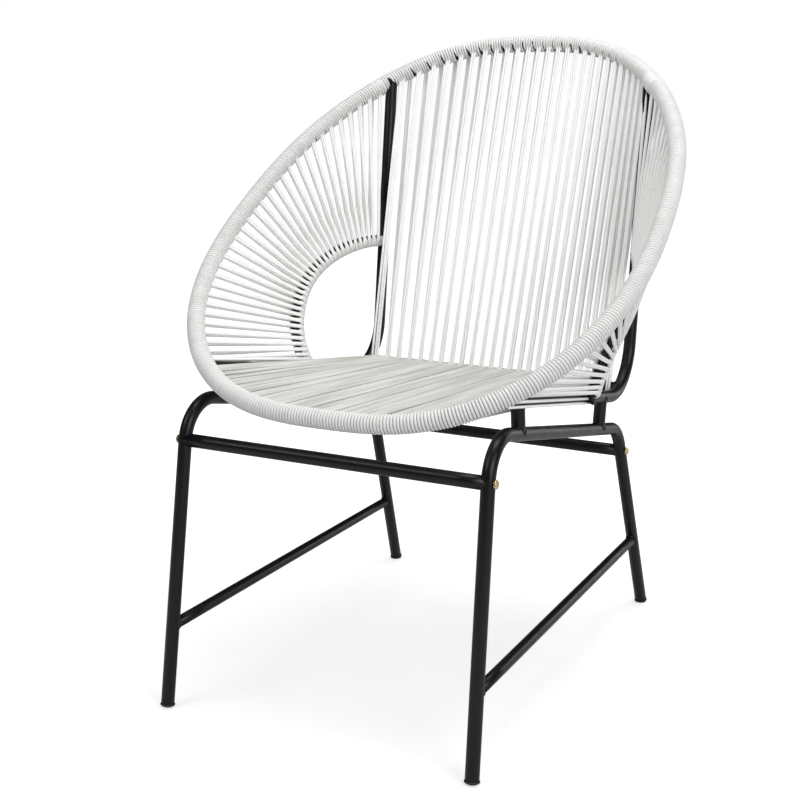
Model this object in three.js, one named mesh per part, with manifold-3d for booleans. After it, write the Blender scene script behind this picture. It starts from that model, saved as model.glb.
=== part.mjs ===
// Lounge chair with an oval steel hoop, a cord-woven seat, back and arms, and a bolted four-leg base.
// Millimetres, +Z up. The sitter faces -Y, so +X is the sitter's left.

import * as THREE from 'three';
import { mergeVertices } from 'three/addons/utils/BufferGeometryUtils.js';
import Module from 'manifold-3d';

const wasm = await Module();
wasm.setup();

// Tube and cord stock
const frameTubeDiameter = 19;
const frameTubeWall = 1.5;
const braceTubeDiameter = 16;
const braceTubeWall = 1.2;
const cordDiameter = 4;
const tautPairThickness = 2.4;
const seatingGap = 0.3;

// Side frames, each one tube bent into a front leg, a sloping rail and a rear leg
const frontFootSpread = 12.5;
const rearFootSpread = 11;
const footHalfDepth = 349.5;
const frontShoulderDepth = 286.5;
const frontShoulderRise = 109;
const rearShoulderDepth = 230;
const rearShoulderHeight = 330;
const shoulderBendRadius = 56;
const frontLeanShare = 0.0205;
const rearLeanShare = 0.045;

// Crossbars below the shoulders of the side frames, and the stretchers between the legs
const frontCrossbarDrop = 59;
const rearCrossbarDrop = 40;
const stretcherFrontHeight = 117;
const stretcherRearHeight = 124;

// Seat rails, each one tube bent up into a back upright, with their corner above the rear shoulder
const railHalfSpacing = 225;
const railCornerDepth = 257;
const railCornerRise = 47.5;
const railFallShare = 0.191;
const uprightLeanShare = 0.1155;
const railBendRadius = 78;

// Posts that carry the seat rails on the side frames
const frontPostDepth = 193.5;
const rearPostDepth = 136;

// Bar at the back of the seat, set in the bend of the rails, where the seat cords and the back cords meet
const seatBarBendShare = 0.345;

// Hoop, a squared oval that narrows towards both ends, drawn in its own sloping plane above the rail's corner
const hoopHalfWidth = 336.5;
const hoopHalfLength = 428;
const hoopCentreDepth = 49;
const hoopCentreRise = 303.5;
const hoopTiltDegrees = 34.75;
const hoopSquareness = 2.82;
const hoopTopTaperShare = 0.0748;
const hoopEndTaperShare = 0.1815;
const hoopVentDiameter = 4;

// Arm arcs, each a bent tube that bulges outwards from the upright, then comes down onto the seat rail
const armArcTopRise = 223.5;
const armArcLead = 20.8;
const armArcReach = 217;
const armArcRise = 146;
const armArcDrop = 150;
const armArcFullness = 1.7;
const armArcBulge = 42;
const armArcFootOffset = 13;

// Cord panels: pairs of cords that cross in two layers
const panelInset = 22;
const panelPitches = 22;
const panelSideStrands = 14;
const armStrands = 18;

// Foot caps, each a plug in the leg's end with a domed rim below it
const capRimDiameter = 21;
const capRimThickness = 3.5;
const capStemLength = 14;
const capDomeRadius = 16;
const capWearDepth = 1.5;

// Bolts and the threaded inserts that they screw into
const boltShankDiameter = 6;
const boltHeadDiameter = 12;
const boltHeadHeight = 3.6;
const boltGripInInsert = 12;
const boltRecessWidth = 1.3;
const boltRecessSpan = 6;
const boltRecessDepth = 1.6;
const insertSetback = 4;
const insertLength = 15;

// Facets
const tubeSides = 8;
const boreSides = 6;
const roundSides = 12;
const bendSteps = 9;
const armArcSteps = 3;
const hoopArmSteps = 5;
const bendStationShare = 0.45;
const curveSamples = 240;
const solverRounds = 40;

const halfFacet = Math.PI / tubeSides;
const frameTubeRadius = frameTubeDiameter / 2;
const frameBoreRadius = frameTubeRadius - frameTubeWall;
const braceTubeRadius = braceTubeDiameter / 2;
const braceBoreRadius = braceTubeRadius - braceTubeWall;
const frontFootHalfTrack = railHalfSpacing + frontFootSpread;
const rearFootHalfTrack = railHalfSpacing + rearFootSpread;
const frontShoulderHeight = rearShoulderHeight + frontShoulderRise;
const frontCrossbarHeight = frontShoulderHeight - frontCrossbarDrop;
const rearCrossbarHeight = rearShoulderHeight - rearCrossbarDrop;
const railCornerHeight = rearShoulderHeight + railCornerRise;
const hoopCentreHeight = railCornerHeight + hoopCentreRise;
const armArcHeight = railCornerHeight + armArcTopRise;
const panelHalfWidth = railHalfSpacing - panelInset;
const sides = [{ name: 'left', sign: 1 }, { name: 'right', sign: -1 }];

// Materials
const blackCoat = new THREE.MeshStandardMaterial({ color: 0x1b1b1c, roughness: 0.5, metalness: 0.3 });
const paleCord = new THREE.MeshStandardMaterial({ color: 0xe8e7e2, roughness: 0.45, metalness: 0 });
const blackPlastic = new THREE.MeshStandardMaterial({ color: 0x151515, roughness: 0.65, metalness: 0 });
const yellowZinc = new THREE.MeshStandardMaterial({ color: 0xb8a25a, roughness: 0.35, metalness: 1 });

// A closed mesh as a solid that can be joined and cut
function solid(geometry) {
  const bare = geometry.clone();
  bare.deleteAttribute('normal');
  bare.deleteAttribute('uv');
  const merged = mergeVertices(bare);
  const corners = merged.index.array;
  const kept = [];
  for (let i = 0; i < corners.length; i += 3) {
    const [a, b, c] = corners.slice(i, i + 3);
    if (a !== b && b !== c && c !== a) kept.push(a, b, c);
  }
  return new wasm.Manifold(new wasm.Mesh({
    numProp: 3,
    vertProperties: merged.attributes.position.array,
    triVerts: Uint32Array.from(kept),
  }));
}

function meshOf(name, body, material) {
  const { vertProperties, triVerts } = body.getMesh();
  const geometry = new THREE.BufferGeometry();
  geometry.setAttribute('position', new THREE.BufferAttribute(vertProperties, 3));
  geometry.setIndex(new THREE.BufferAttribute(triVerts, 1));
  geometry.computeVertexNormals();
  const mesh = new THREE.Mesh(geometry, material);
  mesh.name = name;
  return mesh;
}

function without(body, ...cutters) {
  return cutters.reduce((rest, cutter) => rest.subtract(cutter), body);
}

// Centreline of a bent tube: stations in or near one plane, close together in the bends
class Centreline extends THREE.Curve {
  constructor(stations, planeNormal, { closed = false, leadIn = stations[0], leadOut = stations.at(-1) } = {}) {
    super();
    Object.assign(this, { stations, planeNormal, closed, leadIn, leadOut });
    this.steps = closed ? stations.length : stations.length - 1;
  }

  station(index) {
    const total = this.stations.length;
    if (this.closed) return this.stations[(index + total) % total];
    if (index < 0) return this.leadIn;
    return index < total ? this.stations[index] : this.leadOut;
  }

  // A stretch between two stations that keeps the mitres of the whole tube at its ends
  stretch(first, steps) {
    const stations = Array.from({ length: steps + 1 }, (_, i) => this.station(first + i));
    const leads = { leadIn: this.station(first - 1), leadOut: this.station(first + steps + 1) };
    return new Centreline(stations, this.planeNormal, leads);
  }

  getPoint(share, target = new THREE.Vector3()) {
    const place = share * this.steps;
    const index = Math.min(Math.floor(place), this.steps - 1);
    return target.lerpVectors(this.station(index), this.station(index + 1), place - index);
  }

  getPointAt(share, target) {
    return this.getPoint(share, target);
  }

  getTangentAt(share, target = new THREE.Vector3()) {
    const index = Math.round(share * this.steps);
    const before = new THREE.Vector3().subVectors(this.station(index), this.station(index - 1)).normalize();
    const after = new THREE.Vector3().subVectors(this.station(index + 1), this.station(index)).normalize();
    return target.addVectors(before, after).normalize();
  }

  // Section directions, turned half a facet so that a flat of the tube faces the plane's normal
  computeFrenetFrames(segments) {
    const places = Array.from({ length: segments + 1 }, (_, i) => i / segments);
    const tangents = places.map((share) => this.getTangentAt(share));
    const normals = tangents.map((tangent) => this.planeNormal.clone()
      .projectOnPlane(tangent)
      .normalize()
      .applyAxisAngle(tangent, halfFacet));
    const binormals = tangents.map((tangent, i) => new THREE.Vector3().crossVectors(tangent, normals[i]));
    return { tangents, normals, binormals };
  }

  // The point at a share of the whole length, and the direction of the straight step it lies on
  along(lengthShare) {
    const spans = Array.from({ length: this.steps }, (_, i) => (
      this.station(i).distanceTo(this.station(i + 1))
    ));
    let left = lengthShare * spans.reduce((sum, span) => sum + span, 0);
    let index = 0;
    while (index < this.steps - 1 && left > spans[index]) {
      left -= spans[index];
      index += 1;
    }
    return this.onStep(index, left / spans[index]);
  }

  // The point at a given X, and the direction of the straight step it lies on
  atX(x) {
    for (let i = 0; i < this.steps; i += 1) {
      const start = this.station(i).x;
      const end = this.station(i + 1).x;
      if ((start - x) * (end - x) <= 0) return this.onStep(i, (x - start) / (end - start));
    }
    throw new Error('no such place on the tube');
  }

  onStep(index, share) {
    const start = this.station(index);
    const end = this.station(index + 1);
    return {
      point: new THREE.Vector3().lerpVectors(start, end, share),
      tangent: new THREE.Vector3().subVectors(end, start).normalize(),
    };
  }
}

function ring(radius, count) {
  return Array.from({ length: count }, (_, i) => {
    const angle = (2 * Math.PI * i) / count;
    return new THREE.Vector2(radius * Math.cos(angle), radius * Math.sin(angle));
  });
}

// A round bar or a tube along an open centreline
function tubeAlong(path, radius, boreRadius = 0, sidesOfBore = boreSides) {
  const section = new THREE.Shape(ring(radius, tubeSides));
  if (boreRadius > 0) section.holes.push(new THREE.Path(ring(boreRadius, sidesOfBore)));
  return solid(new THREE.ExtrudeGeometry(section, { steps: path.steps, extrudePath: path }));
}

function closedRing(path, radius, count) {
  return solid(new THREE.TubeGeometry(path, path.steps, radius, count, true));
}

function straight(start, end, planeNormal = new THREE.Vector3(0, 0, 1)) {
  return new Centreline([start, end], planeNormal);
}

// The arc that rounds one corner of a bent tube, as the point at each share of it
function bendAt(before, corner, after, radius) {
  const back = new THREE.Vector3().subVectors(before, corner).normalize();
  const ahead = new THREE.Vector3().subVectors(after, corner).normalize();
  const halfAngle = back.angleTo(ahead) / 2;
  const turn = Math.PI - 2 * halfAngle;
  const middle = new THREE.Vector3().addVectors(back, ahead).normalize();
  const centre = corner.clone().addScaledVector(middle, radius / Math.sin(halfAngle));
  const start = corner.clone().addScaledVector(back, radius / Math.tan(halfAngle)).sub(centre);
  const axis = new THREE.Vector3().crossVectors(ahead, back).normalize();
  return (share) => start.clone().applyAxisAngle(axis, turn * share).add(centre);
}

// Stations of a tube bent round its corners, with one radius
function bentStations(corners, radius) {
  const bends = corners.slice(1, -1).flatMap((corner, i) => {
    const pointAt = bendAt(corners[i], corner, corners[i + 2], radius);
    return Array.from({ length: bendSteps + 1 }, (_, step) => pointAt(step / bendSteps));
  });
  return [corners[0], ...bends, corners.at(-1)];
}

// Stations along a curve given as many close points: a share of them follow its bends, the others its length
function spacedStations(points, steps) {
  const spans = points.slice(1).map((point, i) => new THREE.Vector3().subVectors(point, points[i]));
  const lengths = spans.map((span) => span.length());
  const turns = spans.map((span, i) => span.angleTo(spans[Math.max(i - 1, 0)]));
  const [length, turn] = [lengths, turns].map((list) => list.reduce((sum, value) => sum + value, 0));
  const stations = [points[0]];
  let passed = 0;
  spans.forEach((span, i) => {
    const effort = (1 - bendStationShare) * (lengths[i] / length) + bendStationShare * (turns[i] / turn);
    while (stations.length < steps && passed + effort >= stations.length / steps) {
      const share = (stations.length / steps - passed) / effort;
      stations.push(new THREE.Vector3().lerpVectors(points[i], points[i + 1], share));
    }
    passed += effort;
  });
  return [...stations, points.at(-1)];
}

// The last value between low and high at which a test still holds
function lastHolding(test, low, high) {
  let held = low;
  let failed = high;
  for (let round = 0; round < solverRounds; round += 1) {
    const middle = (held + failed) / 2;
    if (test(middle)) held = middle;
    else failed = middle;
  }
  return held;
}

function samples(pointAt, from, to) {
  return Array.from({ length: curveSamples + 1 }, (_, i) => pointAt(from + ((to - from) * i) / curveSamples));
}

// Side frames
function legAxis(front, sign) {
  const end = front ? -1 : 1;
  const halfTrack = front ? frontFootHalfTrack : rearFootHalfTrack;
  const leanShare = front ? frontLeanShare : rearLeanShare;
  const height = front ? frontShoulderHeight : rearShoulderHeight;
  const depth = front ? frontShoulderDepth : rearShoulderDepth;
  const foot = new THREE.Vector3(sign * halfTrack, end * footHalfDepth, 0);
  const shoulder = new THREE.Vector3(sign * (halfTrack - leanShare * height), end * depth, height);
  return { foot, shoulder, up: new THREE.Vector3().subVectors(shoulder, foot).normalize() };
}

function onLeg(front, sign, height) {
  const { foot, up } = legAxis(front, sign);
  return foot.clone().addScaledVector(up, height / up.z);
}

// Radius of a faceted bore that clears a round piece by one seating gap
function boreAround(radius) {
  return (radius + seatingGap) / Math.cos(Math.PI / roundSides);
}

// Radius of a round piece that fits a faceted tube bore with one seating gap
const plugRadius = frameBoreRadius * Math.cos(Math.PI / boreSides) - seatingGap;
const capRimRadius = capRimDiameter / 2;
const capCentreHeight = capDomeRadius - capWearDepth;
const capRimTop = capRimThickness - Math.sqrt(capDomeRadius ** 2 - capRimRadius ** 2);

function legEnd(front, sign) {
  const { up } = legAxis(front, sign);
  return onLeg(front, sign, capCentreHeight).addScaledVector(up, capRimTop + seatingGap);
}

function sidePath(sign) {
  const corners = [
    legEnd(true, sign),
    legAxis(true, sign).shoulder,
    legAxis(false, sign).shoulder,
    legEnd(false, sign),
  ];
  return new Centreline(bentStations(corners, shoulderBendRadius), new THREE.Vector3(1, 0, 0));
}

// The hoop
const hoopSlope = THREE.MathUtils.degToRad(hoopTiltDegrees);
const hoopNormal = new THREE.Vector3(0, -Math.sin(hoopSlope), Math.cos(hoopSlope));

function hoopPoint(angle) {
  const squared = (value) => Math.sign(value) * Math.abs(value) ** (2 / hoopSquareness);
  const across = squared(Math.cos(angle));
  const along = squared(Math.sin(angle));
  const taper = 1 - hoopTopTaperShare * along - hoopEndTaperShare * along ** 2;
  const slide = hoopHalfLength * along;
  return new THREE.Vector3(
    hoopHalfWidth * across * taper,
    hoopCentreDepth + slide * Math.cos(hoopSlope),
    hoopCentreHeight + slide * Math.sin(hoopSlope),
  );
}

// The hoop's angle at a distance x from its middle line, at its top (end 1) or its front (end -1)
function hoopAngle(x, end) {
  return lastHolding((angle) => hoopPoint(end * angle).x > x, 0, Math.PI / 2);
}

// Strand places along the back and the seat, half a pitch apart, where the back's front layer meets the
// seat's lower layer and the back's rear layer meets the seat's upper layer
const panelPitch = (2 * panelHalfWidth) / panelPitches;
const strandPlaces = Array.from({ length: 2 * panelPitches - 1 }, (_, i) => ({
  x: -panelHalfWidth + (panelPitch * (i + 1)) / 2,
  backInFront: i % 2 === 0,
}));
const sectionHalfWidth = panelHalfWidth - (panelPitch * (panelSideStrands + 1 / 2)) / 2;
const panelSections = [
  { name: 'right', from: -railHalfSpacing, to: -sectionHalfWidth, hoopSteps: 3 },
  { name: 'middle', from: -sectionHalfWidth, to: sectionHalfWidth, hoopSteps: 2 },
  { name: 'left', from: sectionHalfWidth, to: railHalfSpacing, hoopSteps: 3 },
];

const topAngle = hoopAngle(railHalfSpacing, 1);
const frontAngle = hoopAngle(railHalfSpacing, -1);

// Each stretch of the hoop that one cord section wraps, all round from the left arm's front end
function panelStretch(section, end) {
  const angleAt = (x) => {
    const angle = hoopAngle(Math.abs(x), end);
    return end * (x >= 0 ? angle : Math.PI - angle);
  };
  return spacedStations(samples(hoopPoint, angleAt(section.from), angleAt(section.to)), section.hoopSteps);
}

function armStretch(sign, index) {
  const [front, top] = sign > 0 ? [-frontAngle, topAngle] : [Math.PI + frontAngle, Math.PI - topAngle];
  const whole = new Centreline(samples(hoopPoint, top, front), hoopNormal);
  const points = Array.from({ length: curveSamples + 1 }, (_, i) => (
    whole.along((index + i / curveSamples) / armSections).point
  ));
  return spacedStations(points, hoopArmSteps);
}

const armSectionNames = ['upper', 'middle', 'front'];
const armSections = armSectionNames.length;
const hoopRound = [
  ...armSectionNames.map((part, index) => ({
    key: `arm_left_${part}`,
    stations: armStretch(1, index).toReversed(),
  })).reverse(),
  ...panelSections.toReversed().map((section) => ({
    key: `back_${section.name}`,
    stations: panelStretch(section, 1).toReversed(),
  })),
  ...armSectionNames.map((part, index) => ({
    key: `arm_right_${part}`,
    stations: armStretch(-1, index),
  })),
  ...panelSections.map((section) => ({
    key: `seat_${section.name}`,
    stations: panelStretch(section, -1),
  })),
];
const hoop = new Centreline(
  hoopRound.flatMap(({ stations }) => stations.slice(0, -1)),
  hoopNormal,
  { closed: true },
);
const hoopStretches = {};
hoopRound.reduce((first, { key, stations }) => {
  hoopStretches[key] = hoop.stretch(first, stations.length - 1);
  return first + stations.length - 1;
}, 0);

// Seat rail and back upright, one bent tube on each side
function railHeight(depth) {
  return railCornerHeight + railFallShare * (railCornerDepth - depth);
}

function uprightDepth(height) {
  return railCornerDepth + uprightLeanShare * (height - railCornerHeight);
}

function railCorners(sign) {
  const x = sign * railHalfSpacing;
  const front = hoopPoint(-frontAngle);
  const top = hoopPoint(topAngle);
  return [
    new THREE.Vector3(x, front.y, railHeight(front.y)),
    new THREE.Vector3(x, railCornerDepth, railCornerHeight),
    new THREE.Vector3(x, uprightDepth(top.z), top.z),
  ];
}

function railPath(sign) {
  return new Centreline(bentStations(railCorners(sign), railBendRadius), new THREE.Vector3(1, 0, 0));
}

// Arm arc: from the upright over a flattened quarter oval, then down onto the seat rail
function armArcPath(sign) {
  const centreHeight = armArcHeight - armArcRise;
  const crownDepth = uprightDepth(armArcHeight) - armArcLead;
  const quarter = (drop, fullness) => (angle) => new THREE.Vector3(
    0,
    crownDepth - armArcReach * Math.sin(angle) ** (2 / fullness),
    centreHeight + drop * Math.sign(Math.cos(angle)) * Math.abs(Math.cos(angle)) ** (2 / fullness),
  );
  const upper = quarter(armArcRise, armArcFullness);
  const lower = quarter(armArcDrop, 2);
  const foot = lastHolding((angle) => lower(angle).z > railHeight(lower(angle).y), Math.PI / 2, Math.PI);
  const profile = new Centreline([
    new THREE.Vector3(0, uprightDepth(armArcHeight), armArcHeight),
    ...samples(upper, 0, Math.PI / 2),
    ...samples(lower, Math.PI / 2, foot).slice(1),
  ]);
  const placeAt = (share) => {
    const { point } = profile.along(share);
    const bulge = armArcFootOffset * share + armArcBulge * Math.sin(Math.PI * share);
    return point.setX(sign * (railHalfSpacing + bulge));
  };
  const stations = spacedStations(samples(placeAt, 0, 1), armSections * armArcSteps);
  return new Centreline(stations, new THREE.Vector3(1, 0, 0));
}

// Cord wrapped round a tube, as one sleeve, a little short of its neighbour at both ends
function sleeve(stretch, tubeRadius, boreRadius = tubeRadius + seatingGap) {
  const { stations, planeNormal, leadIn, leadOut } = stretch;
  const pulledIn = (end, next) => end.clone().addScaledVector(
    new THREE.Vector3().subVectors(next, end).normalize(),
    seatingGap / 2,
  );
  const ends = [
    pulledIn(stations[0], stations[1]),
    ...stations.slice(1, -1),
    pulledIn(stations.at(-1), stations.at(-2)),
  ];
  const path = new Centreline(ends, planeNormal, { leadIn, leadOut });
  return tubeAlong(path, tubeRadius + cordDiameter, boreRadius, tubeSides);
}

// Two cords side by side, drawn tight from one wrapped tube to another
function strand(from, to, facing) {
  const along = new THREE.Vector3().subVectors(to.point, from.point).normalize();
  const halfThickness = tautPairThickness / 2;
  const corners = [from, to].flatMap(({ point, tangent, tubeRadius }) => {
    const out = new THREE.Vector3().crossVectors(tangent, along);
    const halfWidth = cordDiameter * out.length();
    out.normalize();
    if (out.dot(facing) < 0) out.negate();
    const across = new THREE.Vector3().crossVectors(out, along);
    const wrapFlat = (tubeRadius + cordDiameter) * Math.cos(halfFacet);
    const centre = point.clone().addScaledVector(out, (tubeRadius + seatingGap + wrapFlat) / 2);
    return [[1, 1], [-1, 1], [-1, -1], [1, -1]].map(([a, b]) => centre.clone()
      .addScaledVector(across, a * halfWidth)
      .addScaledVector(out, b * halfThickness));
  });
  const faces = [[4, 5, 6], [4, 6, 7], [3, 2, 1], [3, 1, 0]];
  for (let i = 0; i < 4; i += 1) {
    const next = (i + 1) % 4;
    faces.push([i, next, next + 4], [i, next + 4, i + 4]);
  }
  const geometry = new THREE.BufferGeometry().setFromPoints(corners);
  geometry.setIndex(faces.flat());
  return solid(geometry);
}

const steelFrame = new THREE.Group();
const cordWork = new THREE.Group();
const hardware = new THREE.Group();
const chair = new THREE.Group();
chair.add(steelFrame, cordWork, hardware);

// Tubes that others butt against, and the same tubes one seating gap larger, which cut them
const strandSeat = 2 * seatingGap;
const hoopCutter = closedRing(hoop, frameTubeRadius + seatingGap, tubeSides);
const hoopStrandCutter = closedRing(hoop, frameTubeRadius + strandSeat, tubeSides);
const perSide = Object.fromEntries(sides.map(({ name, sign }) => {
  const side = sidePath(sign);
  const rail = railPath(sign);
  const arc = armArcPath(sign);
  const fat = (path, radius) => tubeAlong(path, radius + seatingGap);
  return [name, {
    side,
    rail,
    arc,
    sideCutter: fat(side, frameTubeRadius),
    railCutter: fat(rail, frameTubeRadius),
    arcCutter: fat(arc, braceTubeRadius),
    arcStrandCutter: tubeAlong(arc, braceTubeRadius + strandSeat),
  }];
}));
const sideCutters = sides.map(({ name }) => perSide[name].sideCutter);
const railCutters = sides.map(({ name }) => perSide[name].railCutter);

function addHoop() {
  const outside = closedRing(hoop, frameTubeRadius, tubeSides);
  const shell = outside.subtract(closedRing(hoop, frameBoreRadius, boreSides));
  const ventRadius = hoopVentDiameter / 2;
  const vent = new THREE.CylinderGeometry(ventRadius, ventRadius, frameTubeRadius, roundSides);
  vent.rotateX(Math.PI / 2 + hoopSlope);
  const ventCentre = hoop.atX(0).point.addScaledVector(hoopNormal, -frameTubeRadius);
  vent.translate(...ventCentre.toArray());
  steelFrame.add(meshOf('hoop_tube', shell.subtract(solid(vent)), blackCoat));
}

function addSideFrame({ name, sign }) {
  const { side } = perSide[name];
  const bores = [[true, frontCrossbarHeight], [false, rearCrossbarHeight]].map(([front, height]) => (
    boltBore(onLeg(front, sign, height))
  ));
  const frame = without(tubeAlong(side, frameTubeRadius, frameBoreRadius), ...bores);
  steelFrame.add(meshOf(`side_frame_${name}`, frame, blackCoat));
}

function boltBore(centre) {
  const radius = boreAround(boltShankDiameter / 2);
  const bore = new THREE.CylinderGeometry(radius, radius, 2 * frameTubeDiameter, roundSides);
  bore.rotateZ(Math.PI / 2);
  bore.translate(...centre.toArray());
  return solid(bore);
}

function addRail({ name }) {
  const { rail } = perSide[name];
  const tube = tubeAlong(rail, frameTubeRadius, frameBoreRadius);
  steelFrame.add(meshOf(`seat_rail_and_upright_${name}`, without(tube, hoopCutter), blackCoat));
}

function addArmArc({ name }) {
  const { arc, railCutter } = perSide[name];
  const tube = tubeAlong(arc, braceTubeRadius, braceBoreRadius);
  steelFrame.add(meshOf(`arm_arc_${name}`, without(tube, railCutter), blackCoat));
}

function addPost({ name, sign }, label, depth) {
  const { sideCutter, railCutter } = perSide[name];
  const [front, rear] = [true, false].map((atFront) => legAxis(atFront, sign).shoulder);
  const foot = new THREE.Vector3().lerpVectors(front, rear, (depth - front.y) / (rear.y - front.y));
  const head = new THREE.Vector3(sign * railHalfSpacing, depth, railHeight(depth));
  const path = straight(foot, head, new THREE.Vector3(1, 0, 0));
  const post = without(tubeAlong(path, frameTubeRadius, frameBoreRadius), sideCutter, railCutter);
  steelFrame.add(meshOf(`${label}_post_${name}`, post, blackCoat));
}

function addStretcher({ name, sign }) {
  const path = straight(onLeg(true, sign, stretcherFrontHeight), onLeg(false, sign, stretcherRearHeight));
  const tube = without(tubeAlong(path, braceTubeRadius, braceBoreRadius), perSide[name].sideCutter);
  steelFrame.add(meshOf(`stretcher_${name}`, tube, blackCoat));
}

function addCrossbar(label, front, height) {
  const path = straight(onLeg(front, -1, height), onLeg(front, 1, height));
  const tube = without(tubeAlong(path, frameTubeRadius, frameBoreRadius), ...sideCutters);
  steelFrame.add(meshOf(`${label}_crossbar`, tube, blackCoat));
}

const seatBarPath = straight(...[-1, 1].map((sign) => (
  bendAt(...railCorners(sign), railBendRadius)(seatBarBendShare)
)));

function addSeatBar() {
  const tube = without(tubeAlong(seatBarPath, frameTubeRadius, frameBoreRadius), ...railCutters);
  steelFrame.add(meshOf('seat_bar', tube, blackCoat));
}

// A point on a tube, with the radius of that tube
function onFrameTube(place) {
  return { ...place, tubeRadius: frameTubeRadius };
}

function onBraceTube(place) {
  return { ...place, tubeRadius: braceTubeRadius };
}

// What clears the cord wrapped on the stretches beside one stretch of the hoop
function besideHoop(key) {
  const place = hoopRound.findIndex((stretch) => stretch.key === key);
  return [place - 1, place + 1].map((other) => {
    const { key: otherKey } = hoopRound.at(other % hoopRound.length);
    return tubeAlong(hoopStretches[otherKey], frameTubeRadius + cordDiameter + seatingGap);
  });
}

function besideArc(arc, index) {
  return [index - 1, index + 1]
    .filter((other) => other >= 0 && other < armSections)
    .map((other) => tubeAlong(
      arc.stretch(other * armArcSteps, armArcSteps),
      braceTubeRadius + cordDiameter + seatingGap,
    ));
}

// Strands joined to the sleeves that hold their ends, and kept off the tubes inside the sleeves
function woven(strands, strandCutters, sleeves) {
  const [first, ...others] = strands.map((piece) => without(piece, ...strandCutters));
  return [...others, ...sleeves].reduce((whole, piece) => whole.add(piece), first);
}

function strandsBetween(stretch, section, facing) {
  return strandPlaces
    .filter(({ x }) => x > section.from && x < section.to)
    .map((place) => strand(
      onFrameTube(stretch.atX(place.x)),
      onFrameTube(seatBarPath.atX(place.x)),
      facing.clone().multiplyScalar(place.backInFront ? 1 : -1),
    ));
}

// Seat cords: wrapped round the hoop's front, drawn back and wrapped round the seat bar
function addSeatCord(section) {
  const key = `seat_${section.name}`;
  const stretch = hoopStretches[key];
  const [barStart, barEnd] = [section.from, section.to].map((x) => (
    seatBarPath.atX(THREE.MathUtils.clamp(x, -panelHalfWidth, panelHalfWidth)).point
  ));
  const strands = strandsBetween(stretch, section, new THREE.Vector3(0, 0, -1));
  const body = woven(strands, [hoopStrandCutter, ...besideHoop(key)], [
    sleeve(stretch, frameTubeRadius),
    sleeve(straight(barStart, barEnd), frameTubeRadius),
  ]);
  cordWork.add(meshOf(`seat_cord_${section.name}`, without(body, ...railCutters), paleCord));
}

// Back cords: wrapped round the hoop's top and drawn down onto the turns on the seat bar
function addBackCord(section) {
  const key = `back_${section.name}`;
  const stretch = hoopStretches[key];
  const strands = strandsBetween(stretch, section, new THREE.Vector3(0, -1, 0));
  const body = woven(strands, [hoopStrandCutter, ...besideHoop(key)], [sleeve(stretch, frameTubeRadius)]);
  const barTurns = tubeAlong(seatBarPath, frameTubeRadius + cordDiameter + seatingGap);
  cordWork.add(meshOf(`back_cord_${section.name}`, without(body, barTurns, ...railCutters), paleCord));
}

// Arm cords: fanned from the hoop's side to the arm arc, alternately on its inner and outer side
function addArmCord({ name, sign }, part, index) {
  const { arc, railCutter, arcCutter, arcStrandCutter } = perSide[name];
  const key = `arm_${name}_${part}`;
  const hoopLine = hoopStretches[key];
  const arcLine = arc.stretch(index * armArcSteps, armArcSteps);
  const perSection = armStrands / armSections;
  const inward = new THREE.Vector3(-sign, 0, 0);
  const strands = Array.from({ length: perSection }, (_, i) => {
    const order = index * perSection + i;
    const share = (i + 1 / 2) / perSection;
    return strand(
      onFrameTube(hoopLine.along(sign > 0 ? 1 - share : share)),
      onBraceTube(arcLine.along(share)),
      inward.clone().multiplyScalar(order % 2 === 0 ? 1 : -1),
    );
  });
  const cutters = [hoopStrandCutter, arcStrandCutter, ...besideHoop(key), ...besideArc(arc, index)];
  const body = woven(strands, cutters, [
    sleeve(hoopLine, frameTubeRadius),
    sleeve(arcLine, braceTubeRadius, 0).subtract(arcCutter),
  ]);
  cordWork.add(meshOf(`arm_cord_${name}_${part}`, without(body, railCutter), paleCord));
}

// Foot cap, worn flat where it stands
function addFootCap({ name, sign }, label, front) {
  const arc = Array.from({ length: boreSides + 1 }, (_, i) => {
    const angle = (Math.asin(capRimRadius / capDomeRadius) * i) / boreSides;
    return new THREE.Vector2(capDomeRadius * Math.sin(angle), -capDomeRadius * Math.cos(angle));
  });
  arc[0].x = 0;
  const profile = [
    ...arc,
    new THREE.Vector2(capRimRadius, capRimTop),
    new THREE.Vector2(plugRadius, capRimTop),
    new THREE.Vector2(plugRadius, capRimTop + capStemLength),
    new THREE.Vector2(0, capRimTop + capStemLength),
  ];
  const plug = new THREE.LatheGeometry(profile, roundSides);
  plug.rotateX(Math.PI / 2);
  const { up } = legAxis(front, sign);
  const turn = new THREE.Quaternion().setFromUnitVectors(new THREE.Vector3(0, 0, 1), up);
  plug.applyQuaternion(turn);
  const floor = new THREE.BoxGeometry(capDomeRadius * 4, capDomeRadius * 4, capDomeRadius);
  floor.translate(0, 0, -capCentreHeight - capDomeRadius / 2);
  const cap = meshOf(`foot_cap_${label}_${name}`, solid(plug).subtract(solid(floor)), blackPlastic);
  cap.position.copy(onLeg(front, sign, capCentreHeight));
  hardware.add(cap);
}

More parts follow.
